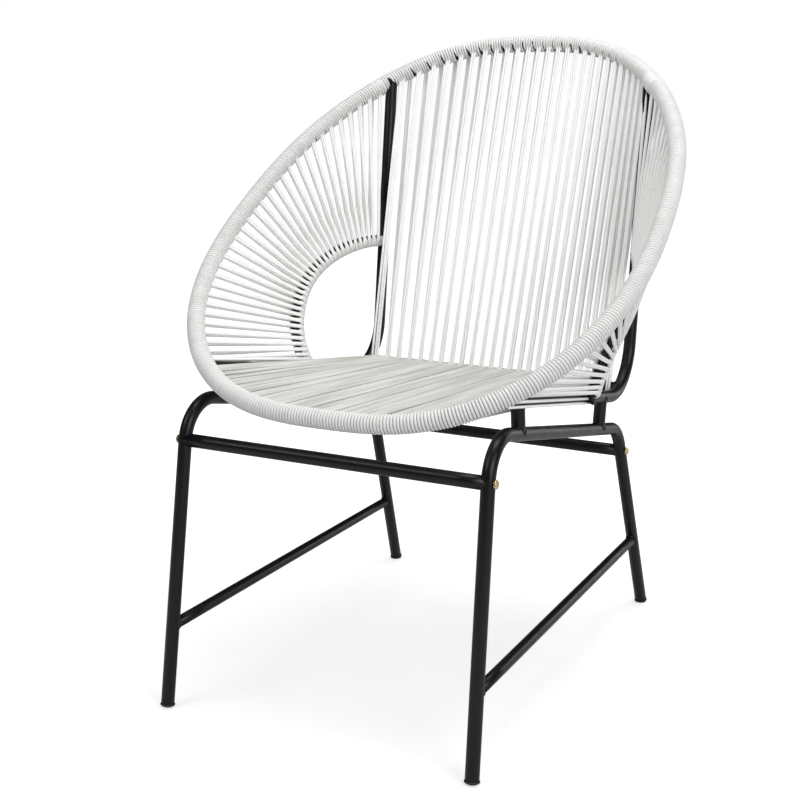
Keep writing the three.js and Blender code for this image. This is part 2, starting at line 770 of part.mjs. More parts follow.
// Pan-head bolt through the leg, with a cross recess in its head
function addBolt({ name, sign }, label, front, height) {
  const shank = boltShankDiameter / 2;
  const head = boltHeadDiameter / 2;
  const seat = frameTubeRadius * Math.cos(halfFacet) + seatingGap;
  const profile = [
    new THREE.Vector2(0, -frameTubeRadius - boltGripInInsert),
    new THREE.Vector2(shank, -frameTubeRadius - boltGripInInsert),
    new THREE.Vector2(shank, seat),
    new THREE.Vector2(head, seat),
    new THREE.Vector2(head, seat + boltHeadHeight / 2),
    new THREE.Vector2(head * Math.cos(Math.PI / 6), seat + boltHeadHeight * Math.cos(Math.PI / 6)),
    new THREE.Vector2(head / 2, seat + boltHeadHeight),
    new THREE.Vector2(0, seat + boltHeadHeight),
  ];
  const recess = (width, length) => {
    const slot = new THREE.BoxGeometry(width, 2 * boltRecessDepth, length);
    slot.translate(0, seat + boltHeadHeight, 0);
    return solid(slot);
  };
  const body = solid(new THREE.LatheGeometry(profile, roundSides))
    .subtract(recess(boltRecessWidth, boltRecessSpan))
    .subtract(recess(boltRecessSpan, boltRecessWidth));
  const bolt = meshOf(`bolt_${label}_${name}`, body, yellowZinc);
  bolt.rotation.z = (-sign * Math.PI) / 2;
  bolt.position.copy(onLeg(front, sign, height));
  hardware.add(bolt);
}

// Threaded insert pressed into a crossbar's end
function addInsert({ name, sign }, label, front, height) {
  const bore = boreAround(boltShankDiameter / 2);
  const start = frameTubeRadius + insertSetback;
  const end = start + insertLength;
  const profile = [[bore, start], [plugRadius, start], [plugRadius, end], [bore, end]];
  const points = [...profile, profile[0]].map(([radius, place]) => new THREE.Vector2(radius, -place));
  const ringBody = solid(new THREE.LatheGeometry(points.toReversed(), roundSides));
  const insert = meshOf(`threaded_insert_${label}_${name}`, ringBody, yellowZinc);
  insert.rotation.z = (-sign * Math.PI) / 2;
  insert.position.copy(onLeg(front, sign, height));
  hardware.add(insert);
}

addHoop();
addSeatBar();
addCrossbar('front', true, frontCrossbarHeight);
addCrossbar('rear', false, rearCrossbarHeight);
for (const side of sides) {
  addSideFrame(side);
  addRail(side);
  addArmArc(side);
  addPost(side, 'front', -frontPostDepth);
  addPost(side, 'rear', rearPostDepth);
  addStretcher(side);
  addFootCap(side, 'front', true);
  addFootCap(side, 'rear', false);
  addBolt(side, 'front', true, frontCrossbarHeight);
  addBolt(side, 'rear', false, rearCrossbarHeight);
  addInsert(side, 'front', true, frontCrossbarHeight);
  addInsert(side, 'rear', false, rearCrossbarHeight);
  armSectionNames.forEach((part, index) => addArmCord(side, part, index));
}
panelSections.forEach(addSeatCord);
panelSections.forEach(addBackCord);

// The origin is on the floor, under the middle of the chair's outline
const outline = new THREE.Box3().setFromObject(chair);
chair.position.y = -(outline.min.y + outline.max.y) / 2;

export default chair;
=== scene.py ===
"""Cord lounge chair: coated steel tubes, wound and drawn cord, foot caps and bolts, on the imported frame.

Shapes are worked out in millimetres on the frame's axes (+Z up, the sitter faces -Y), with depths measured
from the middle between the feet, then set down in metres. Left is the sitter's left, at +X.
"""

import math
import random

import bmesh
import bpy
import numpy as np
from mathutils import Euler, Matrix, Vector


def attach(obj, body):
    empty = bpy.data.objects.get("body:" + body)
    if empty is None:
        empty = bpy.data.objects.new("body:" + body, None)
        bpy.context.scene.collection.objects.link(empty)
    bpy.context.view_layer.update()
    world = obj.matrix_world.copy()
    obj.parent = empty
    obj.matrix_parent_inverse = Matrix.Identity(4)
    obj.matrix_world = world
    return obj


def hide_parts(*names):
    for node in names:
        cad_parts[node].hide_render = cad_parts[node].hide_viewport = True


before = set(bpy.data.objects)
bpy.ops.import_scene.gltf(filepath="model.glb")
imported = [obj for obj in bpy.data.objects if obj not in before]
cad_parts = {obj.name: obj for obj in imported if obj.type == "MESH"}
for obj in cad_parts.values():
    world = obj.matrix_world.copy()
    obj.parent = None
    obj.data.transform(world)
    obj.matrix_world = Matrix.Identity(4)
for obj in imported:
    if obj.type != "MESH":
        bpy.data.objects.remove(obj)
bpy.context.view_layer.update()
dice = random.Random(7)


def vec(*values):
    return np.array(values, float)


def unit(v):
    return v / np.linalg.norm(v, axis=-1, keepdims=True)


MM = 0.001
MIDDLE_OF_FEET = vec(0, -27.165, 0)
SIDES = ((1, "left"), (-1, "right"))
ENDS = ("front", "rear")

# Stock sizes
FRAME_RADIUS = 9.5
BRACE_RADIUS = 8.0
CORD_RADIUS = 2.0

# Base: feet as (half width, depth) and shoulders as (depth, height)
FOOT = {"front": (237.5, -349.5), "rear": (236.0, 349.5)}
SHOULDER = {"front": (-286.5, 439.0), "rear": (230.0, 330.0)}
LEG_LEAN = {"front": 0.0205, "rear": 0.045}
SHOULDER_BEND = 56
LEG_END = 4.6
CROSSBAR_HEIGHT = {"front": 380, "rear": 290}
STRETCHER_HEIGHT = {"front": 117, "rear": 124}
POST_DEPTH = {"front": -193.5, "rear": 136.0}

# Seat rails, uprights and the bar between them
RAIL_X = 225.0
RAIL_CORNER_DEPTH = 257.0
RAIL_CORNER_HEIGHT = 377.5
RAIL_FALL = 0.191
UPRIGHT_LEAN = 0.1155
RAIL_BEND = 78
SEAT_BAR_DEPTH = 218.0
SEAT_BAR_HEIGHT = 397.3

# Hoop
HOOP_HALF_WIDTH = 336.5
HOOP_HALF_LENGTH = 428
HOOP_CENTRE_DEPTH = 49
HOOP_CENTRE_HEIGHT = 681
HOOP_SLOPE = math.radians(34.75)
HOOP_SQUARENESS = 2.82
HOOP_TOP_TAPER = 0.0748
HOOP_END_TAPER = 0.1815

# Arm arcs
ARC_TOP = 601.0
ARC_LEAD = 20.8
ARC_REACH = 217
ARC_RISE = 146
ARC_DROP = 150
ARC_FULLNESS = 1.7
ARC_BULGE = 42
ARC_FOOT_OFFSET = 13
ARC_SAMPLES = 900

# Windings: shift is a share of the pitch, swell and groove of the cord's radius, and fades are in turns
FRAME_PITCH = 4.45
BRACE_PITCH = 3.7
WINDING_SIDES = 40
TURN_SHIFT = 0.045
TURN_SWELL = 0.028
GROOVE_LEVEL = 0.95
SEAM_FADE = 6
END_FADE = 1.1

# Slits in the hoop's winding, from one angle round the tube to another
BACK_SLIT = (math.radians(236), math.radians(326))
NOTCH = (math.radians(236), math.radians(330))
ARM_SLIT = (math.radians(225), math.radians(275))
ARM_SLITS = range(2, 8)

# Drawn cords: overlaps are radians round the tube at each end, and sinks are depths below its surface
CORD_SIDES = 8
WRAP_POINTS = 9
DRIFT_LIMIT = 0.7
DRIFT_FADE = 1.5
PAIR_HALF = 2.05
ARC_PAIR_HALF = 1.05
PANEL_OVERLAP = (0.3, 2.0)
ARM_OVERLAP = (0.3, 1.3)
BACK_SINK = 4.2
SEAT_SINK = 3
ARM_SINK = 3.4
ARC_SINK = 0.6

# Rows of cords. The rail's own are (angle round it in degrees, depth from which they go over it)
BACK_PAIRS = 24
BACK_START = -201
BACK_STEP = 22.2
BACK_CLOSING = 0.2
BACK_TAPER = 0.945
BACK_EDGE_TOP = -216
BACK_EDGE_LOW = -208.5
BACK_JITTER = 0.6
SEAT_PLACES = 47
SEAT_EDGE = -212.2
SEAT_PITCH = 406 / 22
SEAT_TAPER = 0.97
SEAT_LOW_LIMIT = 203
RIM_JITTER = 1.3
RIM_SINK_JITTER = 0.5
BAR_JITTER = 1.2
BAR_SINK_JITTER = 0.3
ARC_PAIRS = 34
FANNED_PAIRS = 31
FANNED_STEP = 0.0308
CLOSE_STEP = 0.004
LAYER_STEP = 4.8
ARC_FIRST_GAP = 24.6
ARC_END_MARGIN = 6
RAIL_CORDS = ((36, 62), (0, 55), (-37, 47))
RAIL_CORD_END = 150

# Foot caps
CAP_DOME_RADIUS = 16
CAP_DOME_HEIGHT = 14.5
CAP_FLOOR = 0.05

# Floor, world and camera, in metres
FLOOR_FADE = (0.55, 1.3)
FLOOR_GLOW = (0.56, 0.79)
WORLD_LEVEL = 0.56
WORLD_WHITE = 1.0
WORLD_IN_GLOSS = -1.17
CAMERA_PLACE = (0.8750, -1.800565, 0.8660)
CAMERA_LENS = 60.99
CAMERA_TURN = math.radians(27.46)
CAMERA_DIP = math.radians(13.27)


# Lines and the meshes swept along them
class Line:
    """Close points with the distance along them, so that a place is found by distance."""

    def __init__(self, points, closed=False, reference=(0, 0, 1)):
        points = np.asarray(points, float)
        if closed:
            points = np.vstack([points, points[:1]])
        steps = np.linalg.norm(np.diff(points, axis=0), axis=1)
        kept = np.concatenate([[True], steps > 1e-6])
        self.points = points[kept]
        self.closed = closed
        steps = np.linalg.norm(np.diff(self.points, axis=0), axis=1)
        self.places = np.concatenate([[0], np.cumsum(steps)])
        self.length = self.places[-1]
        self.reference = unit(vec(*reference))

    def at(self, place):
        place = np.asarray(place, float)
        place = place % self.length if self.closed else np.clip(place, 0, self.length)
        return np.stack([np.interp(place, self.places, self.points[:, i]) for i in range(3)], -1)

    def tangent(self, place, reach=1.5):
        ahead, behind = self.at(np.asarray(place) + reach), self.at(np.asarray(place) - reach)
        return unit(ahead - behind)

    def across(self, place):
        """Two directions across the line: the first is the nearest to its reference."""
        tangent = self.tangent(place)
        first = unit(self.reference - (tangent @ self.reference)[..., None] * tangent)
        return first, np.cross(tangent, first)

    def place_of_x(self, x, low, high):
        """The distance along the line, between low and high, where it comes nearest to one x."""
        places = np.linspace(low, high, 4000)
        return places[np.argmin(np.abs(self.at(places)[:, 0] - x))]


def bend(corners, radius, steps):
    """Points along a line whose inner corners are rounded with one radius."""
    points = [corners[0]]
    for before, corner, after in zip(corners, corners[1:], corners[2:]):
        back, ahead = unit(before - corner), unit(after - corner)
        half = math.acos(np.clip(back @ ahead, -1, 1)) / 2
        centre = corner + unit(back + ahead) * radius / math.sin(half)
        start = corner + back * radius / math.tan(half) - centre
        end = corner + ahead * radius / math.tan(half) - centre
        turn = math.pi - 2 * half
        for t in np.linspace(0, 1, steps + 1):
            arm = math.sin((1 - t) * turn) * start + math.sin(t * turn) * end
            points.append(centre + arm / math.sin(turn))
    points.append(corners[-1])
    return points


def directions_across(points, closed):
    """Two directions across a line at each of its points, which twist as little as possible."""
    if closed:
        tangents = unit(np.roll(points, -1, 0) - np.roll(points, 1, 0))
    else:
        tangents = unit(np.gradient(points, axis=0))
    first = np.cross(tangents[0], vec(0, 0, 1))
    if np.linalg.norm(first) < 0.2:
        first = np.cross(tangents[0], vec(1, 0, 0))
    across = [unit(first)]
    for tangent in tangents[1:]:
        across.append(unit(across[-1] - (across[-1] @ tangent) * tangent))
    across = np.array(across)
    return across, np.cross(tangents, across)


def ring_faces(count, sides, closed=False, capped=True):
    """Faces between rings of vertices that follow each other, with a face over each open end."""
    faces = []
    for i in range(count if closed else count - 1):
        a, b = i * sides, ((i + 1) % count) * sides
        for j in range(sides):
            k = (j + 1) % sides
            faces.append((a + j, a + k, b + k, b + j))
    if capped and not closed:
        faces.append(tuple(range(sides))[::-1])
        faces.append(tuple(range((count - 1) * sides, count * sides)))
    return faces


def swept(points, radii, sides, closed=False, capped=True):
    """Vertices and faces of a round bar along a line of points."""
    points = np.asarray(points, float)
    radii = np.broadcast_to(radii, (len(points),))
    across, up = directions_across(points, closed)
    turn = np.linspace(0, 2 * math.pi, sides, endpoint=False)[None, :, None]
    round_off = np.cos(turn) * across[:, None] + np.sin(turn) * up[:, None]
    rings = points[:, None] + radii[:, None, None] * round_off
    return rings.reshape(-1, 3), ring_faces(len(points), sides, closed, capped)


def lathe(profile, sides):
    """Vertices and faces of a profile of (radius, height) pairs turned round Z."""
    turn = np.linspace(0, 2 * math.pi, sides, endpoint=False)
    vertices = [vec(r * math.cos(t), r * math.sin(t), z) for r, z in profile for t in turn]
    return np.array(vertices), ring_faces(len(profile), sides)


def turned(shape, axis, origin):
    """A shape made along Z, turned so that Z goes along axis, and set down at origin."""
    matrix = np.array(Vector((0, 0, 1)).rotation_difference(Vector(axis)).to_matrix())
    vertices, faces = shape
    return vertices @ matrix.T + origin, faces


def joined(parts):
    """Several sets of vertices and faces as one."""
    vertices, faces, start = [], [], 0
    for v, f in parts:
        vertices.append(np.asarray(v, float))
        faces += [tuple(i + start for i in face) for face in f]
        start += len(v)
    return np.vstack(vertices), faces


def piece(name, shape, material, replaces=()):
    """A mesh object on the root body from millimetre vertices and faces. Its end faces stay flat."""
    vertices, faces = shape
    mesh = bpy.data.meshes.new(name)
    mesh.from_pydata(((vertices + MIDDLE_OF_FEET) * MM).tolist(), [], [list(f) for f in faces])
    mesh.update()
    mesh.polygons.foreach_set("use_smooth", [len(f) <= 4 for f in faces])
    obj = bpy.data.objects.new(name, mesh)
    bpy.context.scene.collection.objects.link(obj)
    mesh.materials.append(material)
    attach(obj, "root")
    if replaces:
        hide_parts(*replaces)
    return obj


# Materials
def add_node(tree, kind, values=()):
    """A shader node with some of its input values set."""
    node = tree.nodes.new(f"ShaderNode{kind}")
    for socket, value in dict(values).items():
        node.inputs[socket].default_value = value
    return node


def principled(name, colour, roughness, metallic=0.0):
    material = bpy.data.materials.new(name)
    material.use_nodes = True
    tree = material.node_tree
    shader = tree.nodes["Principled BSDF"]
    shader.inputs["Base Color"].default_value = (*colour, 1)
    shader.inputs["Roughness"].default_value = roughness
    shader.inputs["Metallic"].default_value = metallic
    return material, tree, shader


def noise(tree, scale, detail, stretch=None):
    """A noise in the object's own space, in repeats a metre."""
    source = add_node(tree, "TexCoord").outputs["Object"]
    texture = add_node(tree, "TexNoise", {"Scale": scale, "Detail": detail})
    if stretch:
        mapping = add_node(tree, "Mapping", {"Scale": stretch})
        tree.links.new(source, mapping.inputs["Vector"])
        source = mapping.outputs["Vector"]
    tree.links.new(source, texture.inputs["Vector"])
    return texture.outputs["Fac"]


def varied(tree, socket, source, low, high):
    """A socket whose value or colour goes from low to high as a noise does."""
    node = add_node(tree, "ValToRGB")
    start, end = node.color_ramp.elements
    start.position, end.position = 0.3, 0.7
    start.color = (*np.broadcast_to(low, 3), 1)
    end.color = (*np.broadcast_to(high, 3), 1)
    tree.links.new(source, node.inputs["Fac"])
    tree.links.new(node.outputs["Color"], socket)


def bumped(tree, shader, height, strength):
    node = add_node(tree, "Bump", {"Strength": strength, "Distance": 0.0002})
    tree.links.new(height, node.inputs["Height"])
    tree.links.new(node.outputs["Normal"], shader.inputs["Normal"])


def black_coat():
    material, tree, shader = principled("black_powder_coat", (0.0038, 0.0038, 0.004), 0.3)
    shader.inputs["Specular IOR Level"].default_value = 0.36
    low, high = (0.003, 0.003, 0.0032), (0.005, 0.005, 0.0053)
    varied(tree, shader.inputs["Base Color"], noise(tree, 38, 3), low, high)
    varied(tree, shader.inputs["Roughness"], noise(tree, 90, 2), 0.3, 0.4)
    bumped(tree, shader, noise(tree, 1500, 2), 0.2)
    return material


def cord_plastic(name, low, high, rough, stretch=None):
    material, tree, shader = principled(name, high, rough)
    shader.inputs["Specular IOR Level"].default_value = 0.5
    varied(tree, shader.inputs["Base Color"], noise(tree, 46, 3, stretch), low, high)
    varied(tree, shader.inputs["Roughness"], noise(tree, 240, 2), rough - 0.05, rough + 0.09)
    bumped(tree, shader, noise(tree, 1100, 2), 0.12)
    return material


def plastic():
    material, tree, shader = principled("black_plastic", (0.02, 0.02, 0.02), 0.6)
    varied(tree, shader.inputs["Base Color"], noise(tree, 300, 3), 0.014, 0.03)
    bumped(tree, shader, noise(tree, 1800, 2), 0.3)
    return material


def zinc():
    material, tree, shader = principled("yellow_zinc", (0.72, 0.6, 0.3), 0.3, 1.0)
    varied(tree, shader.inputs["Base Color"], noise(tree, 260, 3), (0.62, 0.5, 0.22), (0.82, 0.74, 0.46))
    varied(tree, shader.inputs["Roughness"], noise(tree, 700, 2), 0.22, 0.4)
    return material


COAT = black_coat()
# The wound cord is the same cord as the drawn strands: its darker colour is painted shade.
SHADED_WOUND_CORD = cord_plastic("wound_cord_painted_shade", (0.68, 0.68, 0.671), (0.75, 0.75, 0.741), 0.42)
DRAWN = cord_plastic("drawn_cord", (0.88, 0.88, 0.87), (0.92, 0.92, 0.912), 0.34)
# The seat's strands are the same cord as well: their darker, warmer colour is painted shade and painted warm
# bounce light, over a tone that varies at random along them.
SHADED_SEAT_CORD = cord_plastic("seat_cord", (0.465, 0.46, 0.43), (0.705, 0.7, 0.675), 0.36, (2.6, 0.1, 0.5))
PLASTIC = plastic()
ZINC = zinc()


# Places on the base
def foot(end, sign):
    half_width, depth = FOOT[end]
    return vec(sign * half_width, depth, 0)


def shoulder(end, sign):
    depth, height = SHOULDER[end]
    return vec(sign * (FOOT[end][0] - LEG_LEAN[end] * height), depth, height)


def on_leg(end, sign, height):
    low, high = foot(end, sign), shoulder(end, sign)
    return low + (high - low) * height / high[2]


def on_side_rail(sign, depth):
    front, rear = shoulder("front", sign), shoulder("rear", sign)
    return front + (rear - front) * (depth - front[1]) / (rear[1] - front[1])


# Places on the hoop: its line starts at the left, and goes over the top to the right and back along the front
def hoop_points(angles):
    def squared(v):
        return np.sign(v) * np.abs(v) ** (2 / HOOP_SQUARENESS)

    across, along = squared(np.cos(angles)), squared(np.sin(angles))
    taper = 1 - HOOP_TOP_TAPER * along - HOOP_END_TAPER * along**2
    x = HOOP_HALF_WIDTH * across * taper
    slide = HOOP_HALF_LENGTH * along
    depth = HOOP_CENTRE_DEPTH + slide * math.cos(HOOP_SLOPE)
    height = HOOP_CENTRE_HEIGHT + slide * math.sin(HOOP_SLOPE)
    return np.stack([x, depth, height], -1)


HOOP = Line(
    hoop_points(np.linspace(0, 2 * math.pi, 6000, endpoint=False)),
    closed=True,
    reference=(0, -math.sin(HOOP_SLOPE), math.cos(HOOP_SLOPE)),
)
QUARTER = HOOP.length / 4
HOOP_TOP = HOOP.place_of_x(0, 0.5 * QUARTER, 1.5 * QUARTER)
HOOP_FRONT = HOOP.place_of_x(0, 2.5 * QUARTER, 3.5 * QUARTER)
LEFT_UPRIGHT = HOOP.place_of_x(RAIL_X, 0.3 * QUARTER, HOOP_TOP)
RIGHT_UPRIGHT = 2 * QUARTER - LEFT_UPRIGHT
LEFT_RAIL = HOOP.place_of_x(RAIL_X, HOOP_FRONT, 3.8 * QUARTER)
ARM_LENGTH = LEFT_UPRIGHT + HOOP.length - LEFT_RAIL


def top_place(x):
    return HOOP.place_of_x(x, LEFT_UPRIGHT - 5, RIGHT_UPRIGHT + 5)


def front_place(x):
    return HOOP.place_of_x(x, 2 * HOOP_FRONT - LEFT_RAIL - 5, LEFT_RAIL + 5)


def hoop_arm_place(sign, share):
    """The distance along the hoop at a share of an arm's stretch, from the upright to the front."""
    left = LEFT_UPRIGHT - share * ARM_LENGTH
    return left if sign > 0 else 2 * QUARTER - left


def arm_share(step):
    """The share of an arm's stretch of the hoop at which its strands leave: closer together at the front."""
    return min(step, FANNED_PAIRS) * FANNED_STEP + max(step - FANNED_PAIRS, 0) * CLOSE_STEP


def back_place(step):
    """Where the back's strands leave the hoop: a little closer together towards the sitter's left."""
    return BACK_START + BACK_STEP * step - BACK_CLOSING * step * step


# Places on the rails, the seat bar and the arm arcs
def rail_height(depth):
    return RAIL_CORNER_HEIGHT + RAIL_FALL * (RAIL_CORNER_DEPTH - depth)


def upright_depth(height):
    return RAIL_CORNER_DEPTH + UPRIGHT_LEAN * (height - RAIL_CORNER_HEIGHT)


def rail_corners(sign):
    """The rail's front end, its corner behind the seat, and the upright's top."""
    top, front = HOOP.at(LEFT_UPRIGHT), HOOP.at(LEFT_RAIL)
    x = sign * RAIL_X
    return [
        vec(x, front[1], rail_height(front[1])),
        vec(x, RAIL_CORNER_DEPTH, RAIL_CORNER_HEIGHT),
        vec(x, upright_depth(top[2]), top[2]),
    ]


def on_seat_bar(x):
    return vec(x, SEAT_BAR_DEPTH, SEAT_BAR_HEIGHT)


def arm_arc(sign):
    """The line of an arm arc, from the upright forwards and down to the rail."""
    crown_depth = upright_depth(ARC_TOP) - ARC_LEAD

    def profile(start, end, drop, fullness):
        angles = np.linspace(start, end, ARC_SAMPLES)
        depths = crown_depth - ARC_REACH * np.sin(angles) ** (2 / fullness)
        swing = np.sign(np.cos(angles)) * np.abs(np.cos(angles)) ** (2 / fullness)
        return np.stack([0 * angles, depths, ARC_TOP - ARC_RISE + drop * swing], -1)

    upper = profile(0, math.pi / 2, ARC_RISE, ARC_FULLNESS)
    lower = profile(math.pi / 2, math.pi, ARC_DROP, 2)
    lower = lower[lower[:, 2] > rail_height(lower[:, 1])]
    line = Line(np.vstack([[0, upright_depth(ARC_TOP), ARC_TOP], upper, lower]))
    share = np.linspace(0, 1, ARC_SAMPLES)
    points = line.at(share * line.length)
    points[:, 0] = sign * (RAIL_X + ARC_FOOT_OFFSET * share + ARC_BULGE * np.sin(math.pi * share))
    return Line(points, reference=(1, 0, 0))


ARCS = {sign: arm_arc(sign) for sign, _ in SIDES}


# Steel tubes and their welds
def weld(start, toward, radius, met_point, met_direction, bead=1.5):
    """A bead round a tube's end where it meets a frame tube. Its axis runs from start to toward."""
    count = 40
    axis = unit(toward - start)
    side = unit(np.cross(axis, met_direction))
    up = np.cross(axis, side)
    direction = unit(met_direction)
    run = axis - (axis @ direction) * direction
    points = []
    for i in range(count):
        angle = 2 * math.pi * i / count
        point = start + (radius + 0.2) * (math.cos(angle) * side + math.sin(angle) * up)
        gap = point - met_point
        gap = gap - (gap @ direction) * direction
        a, b, c = run @ run, 2 * gap @ run, gap @ gap - (FRAME_RADIUS + 0.1) ** 2
        root = math.sqrt(max(0, b * b - 4 * a * c))
        points.append(point - axis * (b + root) / (2 * a))
    wobble = [1 + 0.16 * math.sin(5.3 * i) + 0.1 * math.sin(2.1 * i + 1) for i in range(count)]
    return swept(points, bead * np.array(wobble), 8, closed=True)


def bent_tube(corners, radius_of_bend, steps):
    """A frame tube with bends, whose ends are softened by a small round edge."""
    points = bend(corners, radius_of_bend, steps)
    first, last = unit(points[1] - points[0]), unit(points[-2] - points[-1])
    line = [points[0], points[0] + 0.35 * first, points[0] + 1.2 * first, *points[1:-1]]
    line += [points[-1] + 1.2 * last, points[-1] + 0.35 * last, points[-1]]
    edge = [FRAME_RADIUS - 1, FRAME_RADIUS - 0.3]
    return swept(line, np.array([*edge, *[FRAME_RADIUS] * (len(line) - 4), *edge[::-1]]), 28)


def straight_tube(start, end, radius, count, sides):
    return swept(np.linspace(start, end, count), radius, sides)


def steel(node, make, *parts):
    """The piece that stands for one steel node of the frame."""
    return piece(f"{node}_{make}", joined(parts), COAT, [node])


def build_hoop():
    line = HOOP.at(np.linspace(0, HOOP.length, 360, endpoint=False))
    steel("hoop_tube", "bent", swept(line, FRAME_RADIUS, 20, closed=True))


def build_side_frame(sign, name):
    corners = [on_leg("front", sign, LEG_END), shoulder("front", sign)]
    corners += [shoulder("rear", sign), on_leg("rear", sign, LEG_END)]
    steel(f"side_frame_{name}", "bent", bent_tube(corners, SHOULDER_BEND, 24))


def build_arm_arc(sign, name):
    arc = ARCS[sign]
    rail_front, corner, upright_top = rail_corners(sign)
    tube = swept(arc.at(np.linspace(0, arc.length, 90)), BRACE_RADIUS, 24)
    foot_before, foot_end = arc.at(arc.length - 12), arc.at(arc.length)
    top_after, top_end = arc.at(12), arc.at(0)
    foot_weld = weld(foot_before, foot_end, BRACE_RADIUS, corner, rail_front - corner)
    top_weld = weld(top_after, top_end, BRACE_RADIUS, corner, upright_top - corner)
    steel(f"arm_arc_{name}", "bent", tube, foot_weld, top_weld)


def build_post(end, sign, name):
    depth = POST_DEPTH[end]
    rail_front, corner, _ = rail_corners(sign)
    low, high = on_side_rail(sign, depth), vec(sign * RAIL_X, depth, rail_height(depth))
    middle = (low + high) / 2
    side_rail = shoulder("rear", sign) - shoulder("front", sign)
    tube = straight_tube(low, high, FRAME_RADIUS, 6, 28)
    low_weld = weld(middle, low, FRAME_RADIUS, low, side_rail, 1.3)
    high_weld = weld(middle, high, FRAME_RADIUS, high, rail_front - corner, 1.3)
    steel(f"{end}_post_{name}", "welded", tube, low_weld, high_weld)


def build_stretcher(sign, name):
    front, rear = [on_leg(end, sign, STRETCHER_HEIGHT[end]) for end in ENDS]
    middle = (front + rear) / 2
    tube = straight_tube(front, rear, BRACE_RADIUS, 10, 24)
    welds = [
        weld(middle, point, BRACE_RADIUS, point, shoulder(end, sign) - foot(end, sign))
        for end, point in zip(ENDS, (front, rear))
    ]
    steel(f"stretcher_{name}", "welded", tube, *welds)


def build_crossbar(end):
    right, left = [on_leg(end, sign, CROSSBAR_HEIGHT[end]) for sign in (-1, 1)]
    steel(f"{end}_crossbar", "bar", straight_tube(right, left, FRAME_RADIUS, 12, 28))


def build_seat_bar():
    right, left = on_seat_bar(-RAIL_X), on_seat_bar(RAIL_X)
    along_bend = vec(0, 0.92, 0.4)
    welds = [weld(on_seat_bar(0), end, FRAME_RADIUS, end, along_bend, 1.3) for end in (right, left)]
    steel("seat_bar", "welded", straight_tube(right, left, FRAME_RADIUS, 12, 24), *welds)


def build_steel():
    build_hoop()
    for sign, name in SIDES:
        build_side_frame(sign, name)
        rail = bent_tube(rail_corners(sign), RAIL_BEND, 28)
        steel(f"seat_rail_and_upright_{name}", "bent", rail)
        build_arm_arc(sign, name)
        for end in ENDS:
            build_post(end, sign, name)
        build_stretcher(sign, name)
    for end in ENDS:
        build_crossbar(end)
    build_seat_bar()


# Cord wound round a tube. The ridge of a turn is given as (share of the pitch, height in cord radii)
RIDGE = (
    (0.0, -1.5),
    (0.055, -0.5),
    (0.13, 0.45),
    (0.27, 0.85),
    (0.5, 1.0),
    (0.73, 0.85),
    (0.87, 0.45),
    (0.945, -0.5),
)


def wound(line, start, end, tube_radius, pitch, seed, around=WINDING_SIDES, bare=None):
    """Turns of cord, each one pitch on from the last, as a surface with a ridge for each turn.

    bare says, for distances along and angles round the line, where the tube is left showing.
    """
    turns = max(2, round((end - start) / pitch))
    pitch = (end - start) / turns
    whole = line.closed and abs(end - start - line.length) < 1
    chance = np.random.default_rng(seed)
    push = chance.normal(0, TURN_SHIFT, turns + 2) * pitch
    swell = chance.normal(0, TURN_SWELL, turns + 2)
    rows = turns * len(RIDGE) + (0 if whole else 1)
    row, column = np.meshgrid(np.arange(rows), np.arange(around), indexing="ij")
    turn = row // len(RIDGE)
    phases, heights = np.array(RIDGE).T
    phase, height = phases[row % len(RIDGE)], heights[row % len(RIDGE)]
    climb = column / around
    along = turn + phase + climb
    if not whole:
        along = np.clip(turn + phase + climb - 0.5, 0, turns)
    index = np.floor(along).astype(int) % (turns + 1)
    blend = along - np.floor(along)
    nudge = push[index] * (1 - blend) + push[(index + 1) % (turns + 1)] * blend
    thick = CORD_RADIUS * (GROOVE_LEVEL + height * (1 + swell[turn % (turns + 1)]))
    from_end = np.minimum(along, turns - along)
    if whole:
        nudge *= np.minimum(1, from_end.clip(0) / SEAM_FADE)
    else:
        edge = np.clip(from_end / END_FADE, 0, 1)
        thick *= np.sqrt(1 - (1 - edge) ** 2)
    distance = start + along * pitch + nudge
    angle = 2 * math.pi * climb
    first, second = line.across(distance.ravel())
    outward = np.cos(angle).ravel()[:, None] * first + np.sin(angle).ravel()[:, None] * second
    vertices = line.at(distance.ravel()) + (tube_radius + thick).ravel()[:, None] * outward
    hidden = bare(distance, angle) if bare else np.zeros(distance.shape, bool)
    return vertices, winding_faces(hidden, whole)


def winding_faces(hidden, whole):
    """Faces between the rows of a winding. Past the last column comes the first, a turn further on."""
    rows, around = hidden.shape

    def corner(i, j):
        if j == around:
            i, j = i + len(RIDGE), 0
        return i % rows * around + j

    faces = []
    for i in range(rows if whole else rows - 1):
        for j in range(around):
            past_end = j + 1 == around and i + 1 + len(RIDGE) >= rows
            if past_end and not whole:
                continue
            if hidden[i, j] and hidden[(i + 1) % rows, j]:
                continue
            faces.append((corner(i, j), corner(i + 1, j), corner(i + 1, j + 1), corner(i, j + 1)))
    return faces


# Cord drawn tight from one tube to another, where each end is a tube's (centre, axis, radius)
def wrap(end, run, way, facing, overlap):
    """Points of a cord that comes in along run, and goes round the side of a tube that facing points to."""
    centre, axis, radius = end
    axis = unit(axis)
    out = unit(np.cross(axis, run))
    if out @ facing < 0:
        out = -out
    travel = way * run
    onward = travel - (travel @ axis) * axis - (travel @ out) * out
    share = np.linalg.norm(onward)
    onward = onward / share
    drift = np.clip((travel @ axis) / share, -DRIFT_LIMIT, DRIFT_LIMIT)
    lift = radius + CORD_RADIUS
    points = []
    for t in np.linspace(0, overlap, WRAP_POINTS):
        slip = drift * lift * (1 - math.exp(-t * DRIFT_FADE)) / DRIFT_FADE
        points.append(centre + lift * (math.cos(t) * out + math.sin(t) * onward) + axis * slip)
    return points


